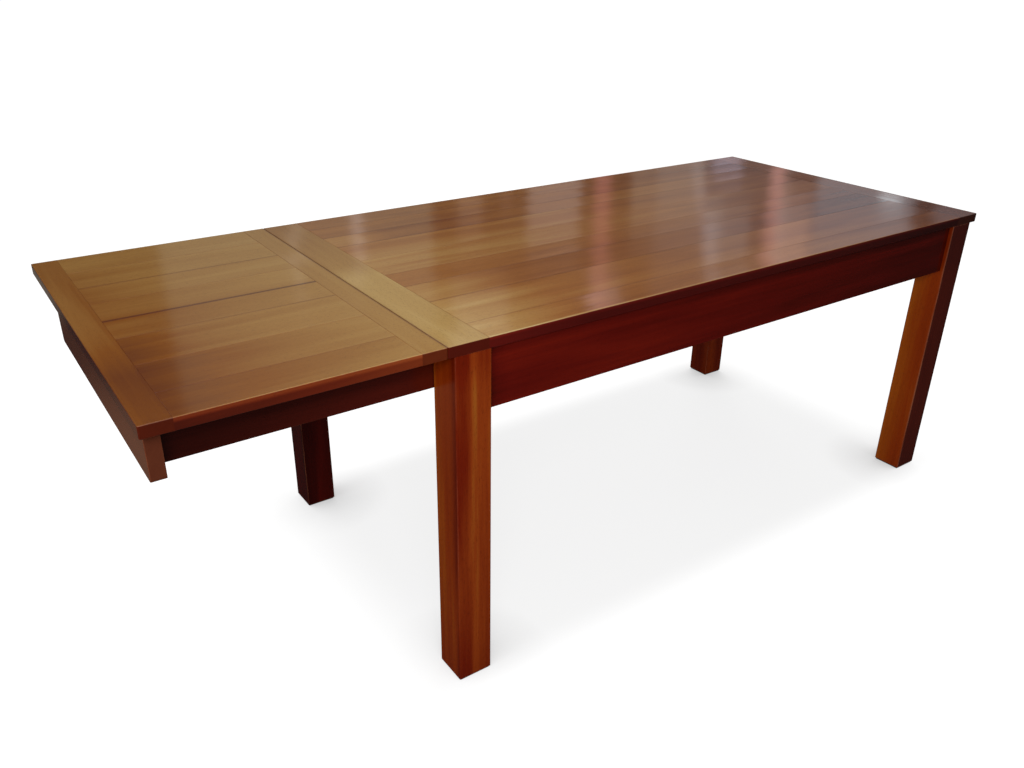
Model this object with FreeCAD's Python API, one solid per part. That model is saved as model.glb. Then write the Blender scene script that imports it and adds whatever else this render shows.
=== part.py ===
"""Dining table with one draw leaf, at its left end.

Legs and aprons are joined with mortises and tenons and carry a fixed top. Two runners on
an end rail draw out of the left end, and a loose leaf lies on them, level with the top.

Millimetres. +X runs along the table from the leaf's end, +Y away from the near side and
+Z up. The origin is on the floor, under the middle of the table with its leaf in place.
"""
import FreeCAD, Part
import math
import os

V = FreeCAD.Vector

# ---------------------------------------------------------------- driving dimensions
HEIGHT = 760.0             # floor to the top surface
FRAME_LENGTH = 1602.0      # over the legs
FRAME_WIDTH = 856.0        # over the legs
LEAF_LENGTH = 508.0

TOP_THICKNESS = 22.0
OVERHANG_LEAF = 14.0       # top beyond the legs, at the leaf's end
OVERHANG_PLAIN = 20.0      # and at the other end
OVERHANG_SIDE = 2.0
TOP_END_BOARD = 84.0       # width of the cross-grained end boards
LEAF_END_BOARD = 50.0
TOP_PATTERN = (76, 132, 102, 82, 114, 114, 80, 80, 80)      # board widths, near to far
LEAF_PATTERN = (95, 118, 127, 95, 105, 100, 110, 110)
CORNER_RADIUS = 3.0        # corners of the top and leaf, seen from above
EDGE_RADIUS = 1.5          # their upper edges
UNDER_BEVEL = 1.0          # their lower edges
JOINT_BEVEL = 0.4          # fine V where two boards meet
TONGUE_THICKNESS = 7.0     # boards into end boards
TONGUE_LENGTH = 18.0
TONGUE_STOP = 12.0         # tongues end this far from the sides

LEG = 76.0
LEG_ARRIS = 2.0
FOOT_BEVEL = 1.2
PAD_SIDE = 70.0            # felt under each foot
PAD_THICKNESS = 3.0

APRON_HEIGHT = 125.0
APRON_THICKNESS = 24.0
APRON_SETBACK = 10.0       # behind the legs' outer faces
RUNNER_APRON_SETBACK = 50.0  # the runners' apron stands further in
TENON_THICKNESS = 10.0
TENON_SHOULDER = 10.0      # above and below a tenon
TENON_WEB = 4.0            # leg wood left between two tenons

RUNNER_LENGTH = 900.0
RUNNER_THICKNESS = 28.0
RUNNER_HEIGHT = 89.7
RUNNER_TO_NEAR_LEG = 2.0   # gaps between the runners and the legs
RUNNER_TO_FAR_LEG = 150.0
RUNNER_NOSE = 22.0         # rounding of the inner ends
END_RAIL_THICKNESS = 25.0
END_RAIL_HEIGHT = 92.7
END_RAIL_BEYOND = 48.0     # rail beyond each runner
END_RAIL_SETBACK = 10.0    # behind the leaf's outer edge
END_RAIL_CORNER = 7.0
STUB_THICKNESS = 12.0      # runner tenons in the end rail
STUB_LENGTH = 15.0
TIE_THICKNESS = 25.0       # rail between the runners' inner ends
TIE_STUB = 8.0
TIE_SHOULDER = 6.0         # all round its stubs
TIE_ABOVE_GUIDES = 3.0
TIE_BELOW_TOP = 6.0
TIE_FROM_END = 18.0

SLIDE_GAP = 0.3            # between pieces that slide or lift apart
GUIDE_GAP = 0.5            # at the sides of the runners

BEARER_WIDTH = 45.0
BEARER_THICKNESS = 30.0
BEARER_1 = 340.0           # bearers under the runners, from the left legs' outer faces
BEARER_2 = 800.0
HOUSING = 6.0              # ends let into the aprons
GUIDE_WIDTH = 20.0
GUIDE_HEIGHT = 30.0
STOP_LENGTH = 40.0
STOP_WIDTH = 25.0
STOP_HEIGHT = 38.0
STOP_FROM_RUNNER = 30.0
CROSS_RAIL_HEIGHT = 45.0
CROSS_RAIL_THICKNESS = 24.0
BRACE_THICKNESS = 30.0
BRACE_WIDTH = 32.0
BRACE_REACH = 194.0        # its outer face meets both sides this far along, summed
BRACE_TO_SEAT = 2.0        # least gap under the runners

BUTTON_LENGTH = 40.0       # turn buttons that hold the top down
BUTTON_WIDTH = 40.0
BUTTON_THICKNESS = 20.0
BUTTON_TONGUE = 7.0
BUTTON_BEVEL = 4.0
BUTTON_GROOVE = 8.0        # height of the groove in the aprons
BUTTON_FROM_LEG = 130.0
BUTTONS_PER_SIDE = 4

PEG_DIAMETER = 9.6         # pegs that locate the leaf
PEG_REACH = 12.0
PEG_DEPTH = 20.0
PEG_FROM_SIDE = 150.0
PEG_GAP = 0.5

SCREW_SHANK = 4.0
SCREW_HEAD = 8.0
SCREW_BITE = 12.0          # length in the piece that it holds
SCREW_SIDES = 8
QUARTERS = (0.25, 0.75)    # where a pair stands along a piece

# ---------------------------------------------------------------- places worked out
LENGTH = LEAF_LENGTH + OVERHANG_LEAF + FRAME_LENGTH + OVERHANG_PLAIN
WIDTH = FRAME_WIDTH + 2 * OVERHANG_SIDE
JOIN = -LENGTH / 2 + LEAF_LENGTH             # where the leaf meets the top
LEG_LEFT = JOIN + OVERHANG_LEAF              # outer faces of the legs
LEG_RIGHT = LEG_LEFT + FRAME_LENGTH
LEG_SIDE = FRAME_WIDTH / 2
UNDER_TOP = HEIGHT - TOP_THICKNESS
MID_TOP = HEIGHT - TOP_THICKNESS / 2
APRON_FOOT = UNDER_TOP - APRON_HEIGHT
TENON_LENGTH = LEG - APRON_SETBACK - (APRON_THICKNESS + TENON_THICKNESS) / 2 - TENON_WEB

LONG_APRON_FACE = LEG_SIDE - APRON_SETBACK                   # outer face, as a distance
LONG_APRON_INNER = LONG_APRON_FACE - APRON_THICKNESS
LEFT_APRON = (LEG_LEFT + RUNNER_APRON_SETBACK,
              LEG_LEFT + RUNNER_APRON_SETBACK + APRON_THICKNESS)
RIGHT_APRON = (LEG_RIGHT - APRON_SETBACK - APRON_THICKNESS, LEG_RIGHT - APRON_SETBACK)

RUNNER_TOP = UNDER_TOP - SLIDE_GAP
RUNNER_FOOT = RUNNER_TOP - RUNNER_HEIGHT
RAIL_X = (-LENGTH / 2 + END_RAIL_SETBACK, -LENGTH / 2 + END_RAIL_SETBACK + END_RAIL_THICKNESS)
RUNNER_X = (RAIL_X[1], RAIL_X[1] + RUNNER_LENGTH)
NEAR_RUNNER = (-LEG_SIDE + LEG + RUNNER_TO_NEAR_LEG,
               -LEG_SIDE + LEG + RUNNER_TO_NEAR_LEG + RUNNER_THICKNESS)
FAR_RUNNER = (LEG_SIDE - LEG - RUNNER_TO_FAR_LEG - RUNNER_THICKNESS,
              LEG_SIDE - LEG - RUNNER_TO_FAR_LEG)
TIE_X = (RUNNER_X[1] - TIE_FROM_END - TIE_THICKNESS, RUNNER_X[1] - TIE_FROM_END)
SEAT = RUNNER_FOOT - SLIDE_GAP               # what the runners slide on
GUIDE_TOP = SEAT + GUIDE_HEIGHT
GROOVE_Z = (UNDER_TOP - (BUTTON_THICKNESS + BUTTON_GROOVE) / 2,
            UNDER_TOP - (BUTTON_THICKNESS - BUTTON_GROOVE) / 2)
GROOVE_DEPTH = BUTTON_TONGUE + 1
BRACE_Z = (APRON_FOOT + EDGE_RADIUS,
           min(APRON_FOOT + EDGE_RADIUS + BRACE_THICKNESS, SEAT - BRACE_TO_SEAT))
BRACE_RUN = BRACE_WIDTH * math.sqrt(2)       # the brace's width along either side


# ---------------------------------------------------------------- shared shapes
def box(x, y, z):
    """Box between the low and high values given for each axis."""
    return Part.makeBox(x[1] - x[0], y[1] - y[0], z[1] - z[0], V(x[0], y[0], z[0]))


def prism(points, along, radii=()):
    """Prism on a closed outline, with the edges at some outline points rounded.

    radii pairs a point's index with its rounding.
    """
    face = Part.Face(Part.makePolygon(points + points[:1]))
    solid = face.extrude(along)
    for index, radius in radii:
        ends = (points[index], points[index] + along)
        edge = next(e for e in solid.Edges
                    if all(e.distToShape(Part.Vertex(p))[0] < 1e-6 for p in ends)
                    and abs(e.Length - along.Length) < 1e-6)
        solid = solid.makeFillet(radius, [edge])
    return solid


def eased(solid, radius, axis, *directions):
    """Round the straight edges that run along an axis, or all of the outermost ones.

    Without directions every edge along the axis is rounded. A direction, such as +Z,
    keeps only the edges on the solid's outermost face that way.
    """
    bounds = solid.BoundBox
    limits = {"+X": ("XMin", bounds.XMax), "-X": ("XMax", bounds.XMin),
              "+Y": ("YMin", bounds.YMax), "-Y": ("YMax", bounds.YMin),
              "+Z": ("ZMin", bounds.ZMax), "-Z": ("ZMax", bounds.ZMin)}
    others = [a for a in "XYZ" if a != axis]

    def wanted(edge):
        span = edge.BoundBox
        straight = all(getattr(span, a + "Length") < 1e-4 for a in others)
        places = [abs(getattr(span, limits[d][0]) - limits[d][1]) < 1e-4 for d in directions]
        return straight and all(places)

    return solid.makeFillet(radius, [edge for edge in solid.Edges if wanted(edge)])


def turned_in_flats(sections):
    """Solid of flat faces about the Z axis, through pairs of radius and height."""
    rings = []
    for radius, z in sections:
        rings.append([V(radius * math.cos(turn), radius * math.sin(turn), z)
                      for turn in (math.tau * n / SCREW_SIDES for n in range(SCREW_SIDES))])
    outlines = [rings[0], rings[-1]]
    for lower, upper in zip(rings, rings[1:]):
        for n in range(SCREW_SIDES):
            m = (n + 1) % SCREW_SIDES
            outlines.append([lower[n], lower[m], upper[m], upper[n]])
    faces = [Part.Face(Part.makePolygon(outline + outline[:1])) for outline in outlines]
    solid = Part.Solid(Part.Shell(faces))
    return solid if solid.Volume > 0 else solid.reversed()


def wood_screw(point, direction, length):
    """Countersunk screw, its head flush at a point. It is faceted, to keep it light."""
    rim, root = SCREW_HEAD / 2, SCREW_SHANK / 2
    body = turned_in_flats([(rim, 0), (root, rim - root), (root, length - root), (root / 4, length)])
    body.Placement = FreeCAD.Placement(point, FreeCAD.Rotation(V(0, 0, 1), direction))
    return body


def drilled(solid, fittings):
    """The solid with room for whatever of the fittings reaches into it."""
    for fitting in fittings:
        if solid.BoundBox.intersect(fitting.BoundBox):
            solid = solid.cut(fitting)
    return solid


def joint_lines(pattern):
    """Where boards meet across the table's width, both sides included."""
    lines, scale = [-WIDTH / 2], WIDTH / sum(pattern)
    for share in pattern:
        lines.append(lines[-1] + share * scale)
    return lines


def mirrored(solid):
    """The same piece on the far side."""
    return solid.mirror(V(0, 0, 0), V(0, 1, 0))


# ---------------------------------------------------------------- aprons
def long_apron():
    """Near apron: board, a tenon at each end and the groove for the turn buttons."""
    y = (-LONG_APRON_FACE, -LONG_APRON_INNER)
    middle = (y[0] + y[1]) / 2
    board = box((LEG_LEFT + LEG, LEG_RIGHT - LEG), y, (APRON_FOOT, UNDER_TOP))
    tenon = box((LEG_LEFT + LEG - TENON_LENGTH, LEG_RIGHT - LEG + TENON_LENGTH),
                (middle - TENON_THICKNESS / 2, middle + TENON_THICKNESS / 2),
                (APRON_FOOT + TENON_SHOULDER, UNDER_TOP - TENON_SHOULDER))
    board = eased(board, EDGE_RADIUS, "X", "-Z")
    groove = box((LEG_LEFT + LEG, LEG_RIGHT - LEG), (y[1] - GROOVE_DEPTH, y[1]), GROOVE_Z)
    return board.fuse(tenon).cut(groove).removeSplitter()


def end_apron(x, inward):
    """Apron between two end legs. inward is +1 or -1, the way its inner face looks along X."""
    reach = LEG_SIDE - LEG
    middle = (x[0] + x[1]) / 2
    board = eased(box(x, (-reach, reach), (APRON_FOOT, UNDER_TOP)), EDGE_RADIUS, "Y", "-Z")
    tenon = box((middle - TENON_THICKNESS / 2, middle + TENON_THICKNESS / 2),
                (-reach - TENON_LENGTH, reach + TENON_LENGTH),
                (APRON_FOOT + TENON_SHOULDER, UNDER_TOP - TENON_SHOULDER))
    face = x[1] if inward > 0 else x[0]
    groove = box(sorted((face, face - inward * GROOVE_DEPTH)), (-reach, reach), GROOVE_Z)
    return board.fuse(tenon).cut(groove).removeSplitter()


def left_end_apron():
    """End apron notched for the two runners.

    The near notch opens beside the leg, so there the tenon is only as deep as the strip
    of wood that is left under the runner.
    """
    apron = end_apron(LEFT_APRON, 1)
    far_notch = (FAR_RUNNER[0] - GUIDE_GAP, FAR_RUNNER[1] + GUIDE_GAP)
    near_notch = (-LEG_SIDE, NEAR_RUNNER[1] + GUIDE_GAP)
    for notch in (near_notch, far_notch):
        apron = apron.cut(box((LEFT_APRON[0] - 1, LEFT_APRON[1] + 1), notch, (SEAT, UNDER_TOP + 1)))
    return apron.removeSplitter()


# ---------------------------------------------------------------- legs and feet
def leg(x, aprons):
    """Near leg with its mortises. x is the leg's span."""
    y = (-LEG_SIDE, -LEG_SIDE + LEG)
    post = eased(box(x, y, (PAD_THICKNESS, UNDER_TOP)), LEG_ARRIS, "Z")
    foot = [e for e in post.Edges if abs(e.BoundBox.ZMax - PAD_THICKNESS) < 1e-4]
    post = post.makeChamfer(FOOT_BEVEL, foot)
    for apron in aprons:
        post = post.cut(apron)
    return post


def foot_pads():
    """Felt pad under each leg."""
    inset = (LEG - PAD_SIDE) / 2
    pads = []
    for x in (LEG_LEFT + inset, LEG_RIGHT - LEG + inset):
        for y in (-LEG_SIDE + inset, LEG_SIDE - LEG + inset):
            pads.append(box((x, x + PAD_SIDE), (y, y + PAD_SIDE), (0, PAD_THICKNESS)))
    return Part.makeCompound(pads)


# ---------------------------------------------------------------- inside the frame
def rail_across(x, z):
    """Rail from one long apron to the other, let into both."""
    reach = LONG_APRON_INNER + HOUSING
    return box(x, (-reach, reach), z)


def corner_brace(corner_x, inward, end_face):
    """Diagonal brace in a near corner.

    corner_x is the outer face of the leg, inward is +1 or -1 along X, and end_face is how
    far the end apron's inner face is from corner_x.
    """
    side_face = LEG_SIDE - LONG_APRON_INNER

    def at(a, b):
        return V(corner_x + inward * a, -LEG_SIDE + b, BRACE_Z[0])

    outline = [at(end_face, BRACE_REACH - end_face), at(BRACE_REACH - side_face, side_face),
               at(BRACE_REACH + BRACE_RUN - side_face, side_face),
               at(end_face, BRACE_REACH + BRACE_RUN - end_face)]
    return prism(outline, V(0, 0, BRACE_Z[1] - BRACE_Z[0]))


def brace_screws(corner_x, inward, end_face):
    """The two screws that hold a near corner's brace, square to its diagonal face."""
    side_face = LEG_SIDE - LONG_APRON_INNER
    inset = BRACE_WIDTH / 2
    reach = BRACE_REACH + BRACE_RUN
    spots = [(reach - side_face - inset, side_face + inset),
             (end_face + inset, reach - end_face - inset)]
    direction = V(-inward, -1, 0).normalize()
    length = inset * math.sqrt(2) + SCREW_BITE
    return [wood_screw(V(corner_x + inward * a, -LEG_SIDE + b, sum(BRACE_Z) / 2), direction, length)
            for a, b in spots]


def guide(y):
    """Strip beside a runner, from the left legs to the second bearer."""
    return box((LEG_LEFT + LEG, LEG_LEFT + BEARER_2 + BEARER_WIDTH), y, (SEAT, GUIDE_TOP))


def guide_screws(y):
    """One screw down through a guide into each bearer."""
    middle = (y[0] + y[1]) / 2
    return [wood_screw(V(LEG_LEFT + x + BEARER_WIDTH / 2, middle, GUIDE_TOP), V(0, 0, -1),
                       GUIDE_HEIGHT + SCREW_BITE) for x in (BEARER_1, BEARER_2)]


def stop_block(y):
    """Block under the top that the tie rail meets when the runners are drawn out."""
    x = (TIE_X[0] - SLIDE_GAP - STOP_WIDTH, TIE_X[0] - SLIDE_GAP)
    return box(x, y, (UNDER_TOP - STOP_HEIGHT, UNDER_TOP))


def stop_screws(y):
    """Two screws up through a stop block into the top."""
    x = TIE_X[0] - SLIDE_GAP - STOP_WIDTH / 2
    return [wood_screw(V(x, y[0] + STOP_LENGTH * share, UNDER_TOP - STOP_HEIGHT), V(0, 0, 1),
                       STOP_HEIGHT + SCREW_BITE) for share in QUARTERS]


# ---------------------------------------------------------------- turn buttons
def button():
    """Button with its tongue towards -Y, at the origin, under the plane z = 0."""
    low = -BUTTON_THICKNESS
    groove = low + (BUTTON_THICKNESS - BUTTON_GROOVE) / 2
    outline = [V(0, 0, 0), V(0, BUTTON_WIDTH, 0), V(0, BUTTON_WIDTH, low + BUTTON_BEVEL),
               V(0, BUTTON_WIDTH - BUTTON_BEVEL, low), V(0, 0, low), V(0, 0, groove),
               V(0, -BUTTON_TONGUE, groove), V(0, -BUTTON_TONGUE, groove + BUTTON_GROOVE),
               V(0, 0, groove + BUTTON_GROOVE)]
    block = prism(outline, V(BUTTON_LENGTH, 0, 0))
    block.translate(V(-BUTTON_LENGTH / 2, 0, 0))
    return block


def button_places():
    """Where the buttons sit: a point on the apron's inner face and a turn about Z."""
    first = LEG_LEFT + LEG + BUTTON_FROM_LEG
    last = LEG_RIGHT - LEG - BUTTON_FROM_LEG
    pitch = (last - first) / (BUTTONS_PER_SIDE - 1)
    places = []
    for n in range(BUTTONS_PER_SIDE):
        places.append((V(first + n * pitch, -LONG_APRON_INNER, UNDER_TOP), 0))
        places.append((V(first + n * pitch, LONG_APRON_INNER, UNDER_TOP), 180))
    gap = FAR_RUNNER[0] - NEAR_RUNNER[1]
    for share in QUARTERS:
        places.append((V(LEFT_APRON[1], NEAR_RUNNER[1] + gap * share, UNDER_TOP), -90))
        places.append((V(RIGHT_APRON[0], FRAME_WIDTH * (share - 0.5), UNDER_TOP), 90))
    return places


def buttons_and_screws():
    """All turn buttons and their screws, as two lists."""
    buttons, screws = [], []
    for point, turn in button_places():
        piece = button()
        piece.Placement = FreeCAD.Placement(point, FreeCAD.Rotation(V(0, 0, 1), turn)).multiply(
            piece.Placement)
        middle = point + FreeCAD.Rotation(V(0, 0, 1), turn).multVec(
            V(0, BUTTON_WIDTH * 0.6, -BUTTON_THICKNESS))
        screw = wood_screw(middle, V(0, 0, 1), BUTTON_THICKNESS + SCREW_BITE)
        buttons.append(piece.cut(screw))
        screws.append(screw)
    return buttons, screws


# ---------------------------------------------------------------- top and leaf
def panel(x):
    """Whole panel with eased edges, before it is divided into boards."""
    y = (-WIDTH / 2, WIDTH / 2)
    slab = eased(box(x, y, (UNDER_TOP, HEIGHT)), CORNER_RADIUS, "Z")
    upper = [e for e in slab.Edges if e.BoundBox.ZMin > HEIGHT - 1e-4]
    slab = slab.makeFillet(EDGE_RADIUS, upper)
    lower = [e for e in slab.Edges if e.BoundBox.ZMax < UNDER_TOP + 1e-4]
    return slab.makeChamfer(UNDER_BEVEL, lower)


def bevel(start, along, across):
    """Fine V along a joint on the upper face, running from a point."""
    outline = [start + across * JOINT_BEVEL, start - across * JOINT_BEVEL,
               start - V(0, 0, JOINT_BEVEL)]
    return Part.Face(Part.makePolygon(outline + outline[:1])).extrude(along)


def tongue(x, y):
    """Tongue on a board's ends, stopped short of the table's sides."""
    limit = WIDTH / 2 - TONGUE_STOP
    return box(x, (max(y[0], -limit), min(y[1], limit)),
               (MID_TOP - TONGUE_THICKNESS / 2, MID_TOP + TONGUE_THICKNESS / 2))


def boarded_panel(x, end_width, pattern):
    """Panel of lengthwise boards tongued into an end board at each end.

    Returns the low end board, the high end board and the boards, near to far.
    """
    whole = panel(x)
    lines = joint_lines(pattern)
    inner = (x[0] + end_width, x[1] - end_width)
    z = (UNDER_TOP - 1, HEIGHT + 1)
    across = (-WIDTH / 2 - 1, WIDTH / 2 + 1)
    bevels = [bevel(V(inner[0], y, HEIGHT), V(inner[1] - inner[0], 0, 0), V(0, 1, 0))
              for y in lines[1:-1]]
    bevels += [bevel(V(end, across[0], HEIGHT), V(0, across[1] - across[0], 0), V(1, 0, 0))
               for end in inner]
    reach = (inner[0] - TONGUE_LENGTH, inner[1] + TONGUE_LENGTH)
    boards = []
    for low, high in zip(lines, lines[1:]):
        board = whole.common(box(inner, (low, high), z)).fuse(tongue(reach, (low, high)))
        boards.append(drilled(board.removeSplitter(), bevels))
    groove = tongue(reach, across)
    ends = [drilled(whole.common(box(span, across, z)).cut(groove), bevels)
            for span in ((x[0] - 1, inner[0]), (inner[1], x[1] + 1))]
    return ends[0], ends[1], boards


def pegs():
    """Pegs that stand out of the top's left edge."""
    places = (-WIDTH / 2 + PEG_FROM_SIDE, WIDTH / 2 - PEG_FROM_SIDE)
    rods = []
    for y in places:
        rod = Part.makeCylinder(PEG_DIAMETER / 2, PEG_REACH + PEG_DEPTH,
                                V(JOIN - PEG_REACH, y, MID_TOP), V(1, 0, 0))
        nose = [e for e in rod.Edges if abs(e.BoundBox.XMax - (JOIN - PEG_REACH)) < 1e-4]
        rods.append(rod.makeChamfer(1.0, nose))
    return rods


def peg_slots():
    """Slots in the leaf that drop over the pegs, open below."""
    half = PEG_DIAMETER / 2 + PEG_GAP
    slots = []
    for y in (-WIDTH / 2 + PEG_FROM_SIDE, WIDTH / 2 - PEG_FROM_SIDE):
        reach = (JOIN - PEG_REACH - PEG_GAP, JOIN)
        round_end = Part.makeCylinder(half, reach[1] - reach[0], V(reach[0], y, MID_TOP), V(1, 0, 0))
        slots.append(round_end.fuse(box(reach, (y - half, y + half), (UNDER_TOP - 1, MID_TOP))))
    return slots


# ---------------------------------------------------------------- runner carriage
def runner(y):
    """Runner with a rounded inner end and a stub tenon for the end rail."""
    outline = [V(RUNNER_X[0], y[0], RUNNER_TOP), V(RUNNER_X[1], y[0], RUNNER_TOP),
               V(RUNNER_X[1], y[0], RUNNER_FOOT), V(RUNNER_X[0], y[0], RUNNER_FOOT)]
    bar = prism(outline, V(0, y[1] - y[0], 0), radii=((2, RUNNER_NOSE),))
    middle = (y[0] + y[1]) / 2
    stub = box((RUNNER_X[0] - STUB_LENGTH, RUNNER_X[0]),
               (middle - STUB_THICKNESS / 2, middle + STUB_THICKNESS / 2),
               (RUNNER_FOOT + TENON_SHOULDER, RUNNER_TOP - TENON_SHOULDER))
    return bar.fuse(stub).removeSplitter()


def end_rail():
    """Rail across the runners' outer ends, its lower corners rounded."""
    y = (NEAR_RUNNER[0] - END_RAIL_BEYOND, FAR_RUNNER[1] + END_RAIL_BEYOND)
    foot = RUNNER_TOP - END_RAIL_HEIGHT
    outline = [V(RAIL_X[0], y[0], RUNNER_TOP), V(RAIL_X[0], y[1], RUNNER_TOP),
               V(RAIL_X[0], y[1], foot), V(RAIL_X[0], y[0], foot)]
    bar = prism(outline, V(END_RAIL_THICKNESS, 0, 0),
                radii=((2, END_RAIL_CORNER), (3, END_RAIL_CORNER)))
    outer = [e for e in bar.Edges if e.BoundBox.XMax < RAIL_X[0] + 1e-4]
    return bar.makeFillet(EDGE_RADIUS, outer)


def tie_rail():
    """Rail between the runners' inner ends, above the guides."""
    z = (GUIDE_TOP + TIE_ABOVE_GUIDES, RUNNER_TOP - TIE_BELOW_TOP)
    bar = box(TIE_X, (NEAR_RUNNER[1], FAR_RUNNER[0]), z)
    stub = box((TIE_X[0] + TIE_SHOULDER, TIE_X[1] - TIE_SHOULDER),
               (NEAR_RUNNER[1] - TIE_STUB, FAR_RUNNER[0] + TIE_STUB),
               (z[0] + TIE_SHOULDER, z[1] - TIE_SHOULDER))
    return bar.fuse(stub).removeSplitter()


# ---------------------------------------------------------------- assembly
def frame_pieces():
    """Legs, aprons and what is fixed between them."""
    near = long_apron()
    far = mirrored(near)
    left, right = left_end_apron(), end_apron(RIGHT_APRON, -1)

    bearers = [rail_across((LEG_LEFT + x, LEG_LEFT + x + BEARER_WIDTH),
                           (SEAT - BEARER_THICKNESS, SEAT)) for x in (BEARER_1, BEARER_2)]
    pitch = (FRAME_LENGTH - 2 * LEG - 2 * BUTTON_FROM_LEG) / (BUTTONS_PER_SIDE - 1)
    cross_x = LEG_RIGHT - LEG - BUTTON_FROM_LEG - pitch / 2
    cross = rail_across((cross_x - CROSS_RAIL_THICKNESS / 2, cross_x + CROSS_RAIL_THICKNESS / 2),
                        (UNDER_TOP - CROSS_RAIL_HEIGHT, UNDER_TOP))

    corners = {"left": (LEG_LEFT, 1, LEFT_APRON[1] - LEG_LEFT),
               "right": (LEG_RIGHT, -1, LEG_RIGHT - RIGHT_APRON[0])}
    braces, diagonal_screws = {}, []
    for side, corner in corners.items():
        screws = brace_screws(*corner)
        piece = drilled(corner_brace(*corner), screws)
        braces["corner_brace_near_" + side] = piece
        braces["corner_brace_far_" + side] = mirrored(piece)
        diagonal_screws += screws + [mirrored(screw) for screw in screws]

    strip = (GUIDE_GAP, GUIDE_GAP + GUIDE_WIDTH)
    sides = {"guide_near_outer": tuple(NEAR_RUNNER[0] - g for g in reversed(strip)),
             "guide_near_inner": tuple(NEAR_RUNNER[1] + g for g in strip),
             "guide_far_inner": tuple(FAR_RUNNER[0] - g for g in reversed(strip)),
             "guide_far_outer": tuple(FAR_RUNNER[1] + g for g in strip)}
    strip_screws = [screw for y in sides.values() for screw in guide_screws(y)]
    guides = {name: drilled(guide(y), strip_screws) for name, y in sides.items()}

    legs = {"leg_near_left": leg((LEG_LEFT, LEG_LEFT + LEG), (near, left)),
            "leg_near_right": leg((LEG_RIGHT - LEG, LEG_RIGHT), (near, right)),
            "leg_far_left": mirrored(leg((LEG_LEFT, LEG_LEFT + LEG), (near, mirrored(left)))),
            "leg_far_right": mirrored(leg((LEG_RIGHT - LEG, LEG_RIGHT), (near, right)))}
    holders = bearers + [cross] + diagonal_screws
    pieces = {"apron_near": drilled(near, holders), "apron_far": drilled(far, holders),
              "apron_left_end": drilled(left, diagonal_screws),
              "apron_right_end": drilled(right, diagonal_screws),
              "bearer_outer": drilled(bearers[0], strip_screws),
              "bearer_inner": drilled(bearers[1], strip_screws), "cross_rail": cross,
              "foot_pads": foot_pads(), "brace_screws": Part.makeCompound(diagonal_screws),
              "guide_screws": Part.makeCompound(strip_screws)}
    return {**legs, **pieces, **braces, **guides}


def top_pieces():
    """The fixed top, what holds it down, the stops and the leaf's pegs."""
    buttons, button_screws = buttons_and_screws()
    stops = {"stop_block_near": (NEAR_RUNNER[1] + STOP_FROM_RUNNER,
                                 NEAR_RUNNER[1] + STOP_FROM_RUNNER + STOP_LENGTH),
             "stop_block_far": (FAR_RUNNER[0] - STOP_FROM_RUNNER - STOP_LENGTH,
                                FAR_RUNNER[0] - STOP_FROM_RUNNER)}
    block_screws = [screw for y in stops.values() for screw in stop_screws(y)]
    rods = pegs()
    fittings = button_screws + block_screws + rods
    left, right, boards = boarded_panel((JOIN, LENGTH / 2), TOP_END_BOARD, TOP_PATTERN)
    pieces = {"top_end_board_left": drilled(left, fittings),
              "top_end_board_right": drilled(right, fittings),
              "top_buttons": Part.makeCompound(buttons),
              "button_screws": Part.makeCompound(button_screws),
              "stop_screws": Part.makeCompound(block_screws), "leaf_pegs": Part.makeCompound(rods)}
    for name, y in stops.items():
        pieces[name] = drilled(stop_block(y), block_screws)
    for number, board in enumerate(boards, 1):
        pieces["top_board_%d" % number] = drilled(board, fittings)
    return pieces


def carriage_pieces():
    """The two runners and the rails that join them."""
    near, far, tie = runner(NEAR_RUNNER), runner(FAR_RUNNER), tie_rail()
    return {"runner_near": near.cut(tie), "runner_far": far.cut(tie), "tie_rail": tie,
            "end_rail": end_rail().cut(near).cut(far)}


def leaf_pieces():
    """The loose leaf."""
    span = (-LENGTH / 2, JOIN - SLIDE_GAP)
    outer, inner, boards = boarded_panel(span, LEAF_END_BOARD, LEAF_PATTERN)
    pieces = {"leaf_end_board_outer": outer, "leaf_end_board_inner": drilled(inner, peg_slots())}
    for number, board in enumerate(boards, 1):
        pieces["leaf_board_%d" % number] = board
    return pieces


os.makedirs("parts", exist_ok=True)
for make in (frame_pieces, top_pieces, carriage_pieces, leaf_pieces):
    for name, shape in make().items():
        shape.exportStep("parts/%s.step" % name)
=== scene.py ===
"""Finishes, light and camera for the draw leaf table.

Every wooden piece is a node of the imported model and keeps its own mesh. This script gives
each one its timber and lacquer, and puts detailed screws in place of the plain ones.
"""
import math

import bmesh
import bpy
import numpy as np
from mathutils import Euler, Matrix, Vector


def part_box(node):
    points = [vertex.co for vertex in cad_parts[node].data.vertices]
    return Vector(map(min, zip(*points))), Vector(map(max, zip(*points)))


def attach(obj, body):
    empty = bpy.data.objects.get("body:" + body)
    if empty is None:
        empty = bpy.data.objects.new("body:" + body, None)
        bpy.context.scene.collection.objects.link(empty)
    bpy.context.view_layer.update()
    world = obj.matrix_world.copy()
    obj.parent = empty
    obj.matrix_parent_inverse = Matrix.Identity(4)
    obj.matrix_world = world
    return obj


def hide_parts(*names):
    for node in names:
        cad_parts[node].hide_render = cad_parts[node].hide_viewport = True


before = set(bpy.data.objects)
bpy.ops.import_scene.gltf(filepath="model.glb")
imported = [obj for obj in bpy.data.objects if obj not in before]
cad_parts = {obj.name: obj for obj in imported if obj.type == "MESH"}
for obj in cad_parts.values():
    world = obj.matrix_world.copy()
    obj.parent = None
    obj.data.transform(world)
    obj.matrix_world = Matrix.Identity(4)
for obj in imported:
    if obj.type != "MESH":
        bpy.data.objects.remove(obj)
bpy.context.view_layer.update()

MM = 0.001
AXES = "XYZ"

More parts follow.
